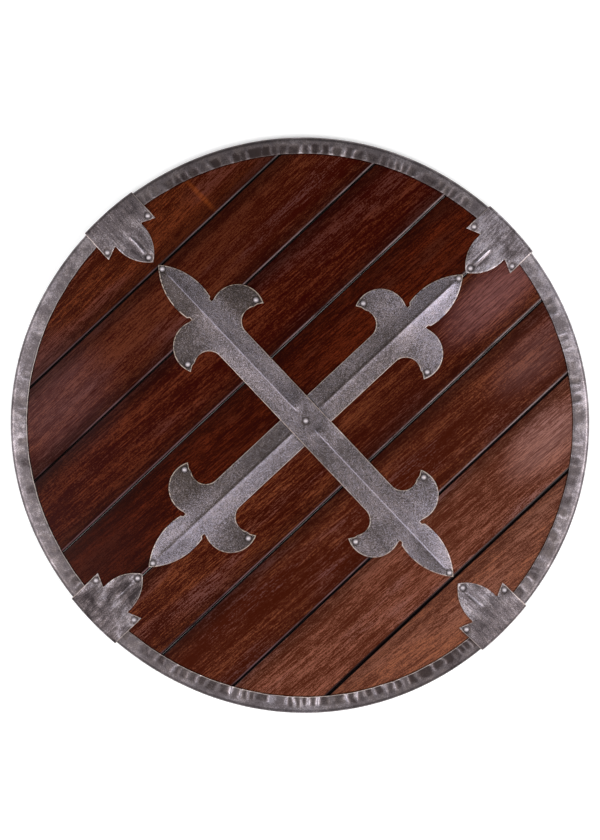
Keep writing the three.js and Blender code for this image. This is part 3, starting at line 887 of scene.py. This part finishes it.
# ---- clips ----
clips = {
    "halfWidth": 33.2 * mm,
    "leafAt": 35 * mm,  # distances are from the leaf's point outwards
    "leafHalfWidth": 18.2 * mm,
    "leafEnd": 37.6 * mm,
    "notch": Vector((39.4 * mm, 19 * mm, 0)),
    "earStart": Vector((38.6 * mm, 20.6 * mm, 0)),
    "earPoint": Vector((33.3 * mm, 33.2 * mm, 0)),
    "tabDepth": 40 * mm,
    "tabCorner": 6 * mm,
    "stepAt": 277 * mm,  # middle of the place where the sheet climbs over the band
    "stepLength": 20 * mm,
    "bend": 3.7 * mm,
    "tipRivet": Vector((6.6 * mm, 0, 0)),
    "earRivet": Vector((40 * mm, 28.95 * mm, 0)),
    "rim": 1 * mm,
    "filed": 0.12 * mm,
    "grid": 1.7 * mm,
    "ribCuts": [-0.6 * mm, 0, 0.6 * mm],
    "foldFrom": 5 * mm,  # the closer cuts start this far inside the edge
    "foldLength": 30 * mm,
    "foldGrid": 0.9 * mm,
    "tabFrom": 32 * mm,  # the wider cuts of the tab, from where the closer ones start
    "tabGrid": 2.5 * mm,
    "dimple": (3 * mm, 5 * mm),  # from a rivet's middle
    "dimpleDepth": 0.45 * mm,
    # painted shade round each rivet, in its dimple
    "grimeRing": (3.6 * mm, 5.2 * mm),
    "rib": (10 * mm, 38 * mm),
    "ribFade": 9 * mm,
    "ribWidth": 1.3 * mm,
    "ribHeight": 1.05 * mm,
    "besideAt": 2.6 * mm,  # of the shallow grooves beside the rib
    "besideWidth": 0.9 * mm,
    "besideShare": 0.35,
    "leafEndsAt": (30 * mm, 42 * mm),  # the leaf's own wear fades out there
    "darkFold": (304.5 * mm, 2 * mm, 0.1),  # radius, width and amount
    # how much brighter or darker than usual the whole clip and its leaf are, and how blotched it is
    "each": {
        "upper_left": {"wear": -0.07, "leafWear": 0.1, "patchy": 1.3},
        "upper_right": {"wear": 0.22, "leafWear": 0.05, "patchy": 1.7},
        "lower_left": {"wear": -0.13, "leafWear": -0.05, "patchy": 2.4},
        "lower_right": {"wear": -0.08, "leafWear": 0.25, "patchy": 1.3},
    },
    "steel": {
        "dark": (46, 39, 40), "usual": (102, 93, 96), "bright": (188, 182, 196), "tint": (252, 246, 236),
        "patches": (20 * mm, 13 * mm, 15 * mm),
        "mottle": (16 * mm, 1.6 * mm, 4 * mm), "mottled": 0.85,
        "sand": (1.3 * mm, 0.65 * mm, 1 * mm), "sandy": 1.5,
        "polish": 0.55, "roughness": 0.42, "metallic": 0.9, "sandRelief": 0.75, "relief": 0.3,
        "edge": (190, 174, 166), "edging": 0.6,
    },
}


def foldedAt(length):  # radius and height of the clip's sheet, at a length along its section
    top, bottom = shield["face"] + 2 * layer, shield["back"] - 2 * layer
    bend = clips["bend"]
    bendAt = shield["radius"] + layer - bend
    quarter = bend * math.pi / 2
    wall = top - bottom - 2 * bend
    start, end = clips["stepAt"] - clips["stepLength"] / 2, clips["stepAt"] + clips["stepLength"] / 2
    if length < bendAt:
        return length, top - layer * (1 - smooth(length, start, end))
    length -= bendAt
    if length < quarter:
        return bendAt + bend * math.sin(length / bend), top - bend * (1 - math.cos(length / bend))
    length -= quarter
    if length < wall:
        return bendAt + bend, top - bend - length
    length -= wall
    if length < quarter:
        return bendAt + bend * math.cos(length / bend), bottom + bend * (1 - math.sin(length / bend))
    radius = bendAt - (length - quarter)
    return radius, bottom + layer * (1 - smooth(radius, start, end))


def sectionLength():  # of the whole folded sheet, from the shield's middle round to the tab's end
    bend = clips["bend"]
    bendAt = shield["radius"] + layer - bend
    wall = shield["face"] - shield["back"] + 4 * layer - 2 * bend
    return bendAt + math.pi * bend + wall + bendAt - (shield["radius"] - clips["tabDepth"])


def drawClip(bm, length):  # a half of the outline, laid flat
    half = clips["halfWidth"]
    leaf, radius = leafArc(clips["leafAt"], clips["leafHalfWidth"], clips["leafAt"])
    beyond = clips["leafEnd"] - clips["leafAt"]
    pen = Pen(bm, (0, 0, 0))
    pen.arcTo(leaf, leaf + Vector((beyond, math.sqrt(radius**2 - beyond**2), 0)), 14)
    pen.line(clips["notch"])
    pen.line(clips["earStart"])
    pen.line(clips["earPoint"])
    pen.line((length - clips["tabCorner"], half, 0))
    pen.line((length, half - clips["tabCorner"], 0))
    pen.line((length, 0, 0))


def sliceClip(bm, along, length):
    grid, half = clips["grid"], clips["halfWidth"]
    foldStart = shield["radius"] - clips["foldFrom"] - along
    places = steps(0, foldStart, grid)[1:-1]
    places += steps(foldStart, foldStart + clips["foldLength"], clips["foldGrid"])
    places += steps(foldStart + clips["tabFrom"], length, clips["tabGrid"])[:-1]
    sliced(bm, (1, 0, 0), places)
    sliced(bm, (0, 1, 0), steps(-half, half, grid)[1:-1] + clips["ribCuts"])


def ribAt(x, y):  # height shares of the rib on the leaf and of the shallow grooves beside it
    start, end = clips["rib"]
    fade = clips["ribFade"]
    share = smooth(x, start, start + fade) * (1 - smooth(x, end - fade, end))
    beside = bump(abs(y) - clips["besideAt"], clips["besideWidth"]) * share * clips["besideShare"]
    return bump(y, clips["ribWidth"]) * share, beside


def foldClip(bm, outward, along, across, looks):  # round the edge, following its stray
    sideways = Vector((-outward.y, outward.x))
    bearing = math.atan2(outward.y, outward.x)
    ear = clips["earRivet"]
    rivetPlaces = [clips["tipRivet"]] + [Vector((ear.x, side * ear.y, 0)) for side in (1, -1)]
    foldRadius, foldWidth, foldDark = clips["darkFold"]
    worn, grime = marks(bm, "worn", "grime")
    for vertex in bm.verts:
        x, y = vertex.co.xy
        near = nearest(vertex, rivetPlaces)
        rib, beside = ribAt(x, y)
        dimple = 1 - smooth(near, *clips["dimple"])
        relief = clips["ribHeight"] * (rib - beside) - clips["dimpleDepth"] * dimple
        a, b = along + x, across + y
        flat = math.hypot(a, b)
        stray = strayAt(bearing + math.atan2(b, a))
        radius, height = foldedAt(flat - stray)
        radius += stray
        place = outward * math.sqrt(max(0, radius**2 - b**2)) + sideways * b
        vertex.co = (place.x, place.y, height + relief)
        # painted shade in the dimple round each rivet
        vertex[grime] = 1 - smooth(near, *clips["grimeRing"])
        leafy = 1 - smooth(x, *clips["leafEndsAt"])
        # the rib brighter with wear and a painted highlight, the shallow grooves beside it darker with
        # painted shade
        wear = looks["wear"] + looks["leafWear"] * leafy + rib * 0.5 - beside * 0.8
        vertex[worn] = wear - foldDark * bump(flat - stray - foldRadius, foldWidth)


def makeClip(name, looks):
    tipRivet, *ears = [middleOf(f"clip_{name}_rivet_{number}") for number in (1, 2, 3)]
    outward = ((ears[0] + ears[1]) / 2 - tipRivet).xy.normalized()
    tip = (tipRivet - shield["middle"]).xy - outward * clips["tipRivet"].x
    along, across = tip.dot(outward), tip.dot(Vector((-outward.y, outward.x)))
    length = sectionLength() - along
    bm = bmesh.new()
    drawClip(bm, length)
    mirrored(bm, "Y")
    filled(bm, clips["rim"])
    sliceClip(bm, along, length)
    foldClip(bm, outward, along, across, looks)
    edgeEased(bm, clips["filed"])
    thickened(bm, shield["sheet"])
    bm.transform(Matrix.Translation(shield["middle"]))
    label = camel(["clip", *name.split("_")])
    values = {**clips["steel"], "bearing": math.atan2(outward.y, outward.x), "patchy": looks["patchy"]}
    madePiece(label, bm, steelFinish(f"{label}Steel", values), f"clip_{name}", 50)


for name, looks in clips["each"].items():
    makeClip(name, looks)
print("clips are folded over the band")

# ---- rivets ----
rivets = {
    "headRadius": 2.95 * mm,
    "headHeight": 1.8 * mm,
    "rim": 0.35 * mm,
    "shankRadius": 1.5 * mm,
    "tailHeight": 1 * mm,
    "tailRadius": 3.1 * mm,
    "tailFlat": 0.8,  # share of its radius
    "tailRound": 0.35 * mm,
    "turns": 28,
    "grime": (0.35, 0.88, 1.2),  # painted shade at the head's rim: shares of its radius where it starts and is full, and its strength
    "steel": {
        "dark": (120, 112, 117), "usual": (186, 178, 184), "bright": (222, 216, 220), "tint": (250, 246, 242),
        "patches": (5 * mm, 5 * mm, 5 * mm), "patchy": 0.5,
        "mottle": (2 * mm, 2 * mm, 2 * mm), "mottled": 0.4,
        "sand": (0.6 * mm, 0.6 * mm, 0.6 * mm), "sandy": 0.3,
        "polish": 0.3, "roughness": 0.5, "metallic": 0.45, "sandRelief": 0.5, "relief": 0.15,
        "edge": (170, 160, 155), "edging": 0,
    },
}


def makeRivet(node, steel):
    low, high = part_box(node)
    middle = (low + high) / 2
    head, rim = rivets["headRadius"], rivets["rim"]
    seat = high.z - rivets["headHeight"]
    clench = low.z + rivets["tailHeight"]
    dome = rivets["headHeight"] - rim
    radius = (head**2 + dome**2) / (2 * dome)  # of the round head
    bm = bmesh.new()
    pen = Pen(bm, (0, 0, low.z))
    pen.line((rivets["tailRadius"] * rivets["tailFlat"], 0, low.z + rivets["tailRound"]), 2)
    pen.line((rivets["tailRadius"], 0, clench))
    pen.line((rivets["shankRadius"], 0, clench))
    pen.line((rivets["shankRadius"], 0, seat))
    pen.line((head, 0, seat))
    pen.line((head, 0, seat + rim))
    pen.arc((0, 0, high.z - radius), -math.asin(head / radius), 7, (0, 1, 0))
    spun(bm, everything(bm), (0, 0, 0), (0, 0, 1), 2 * math.pi, rivets["turns"], merge=True)
    bmesh.ops.remove_doubles(bm, verts=bm.verts[:], dist=0.005 * mm)
    bmesh.ops.recalc_face_normals(bm, faces=bm.faces[:])
    grime, = marks(bm, "grime")
    start, full, strength = rivets["grime"]
    for vertex in bm.verts:
        out = math.hypot(vertex.co.x, vertex.co.y)
        # painted shade, darker towards the rim of the round head
        vertex[grime] = strength * smooth(out, start * head, full * head)
    bm.transform(Matrix.Translation((middle.x, middle.y, 0)))
    madePiece(camel(node.split("_")), bm, steel, node, 40)


rivetSteel = steelFinish("rivetSteel", rivets["steel"])
for node in sorted(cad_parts):
    if "rivet" in node:
        makeRivet(node, rivetSteel)
print("rivets are set")
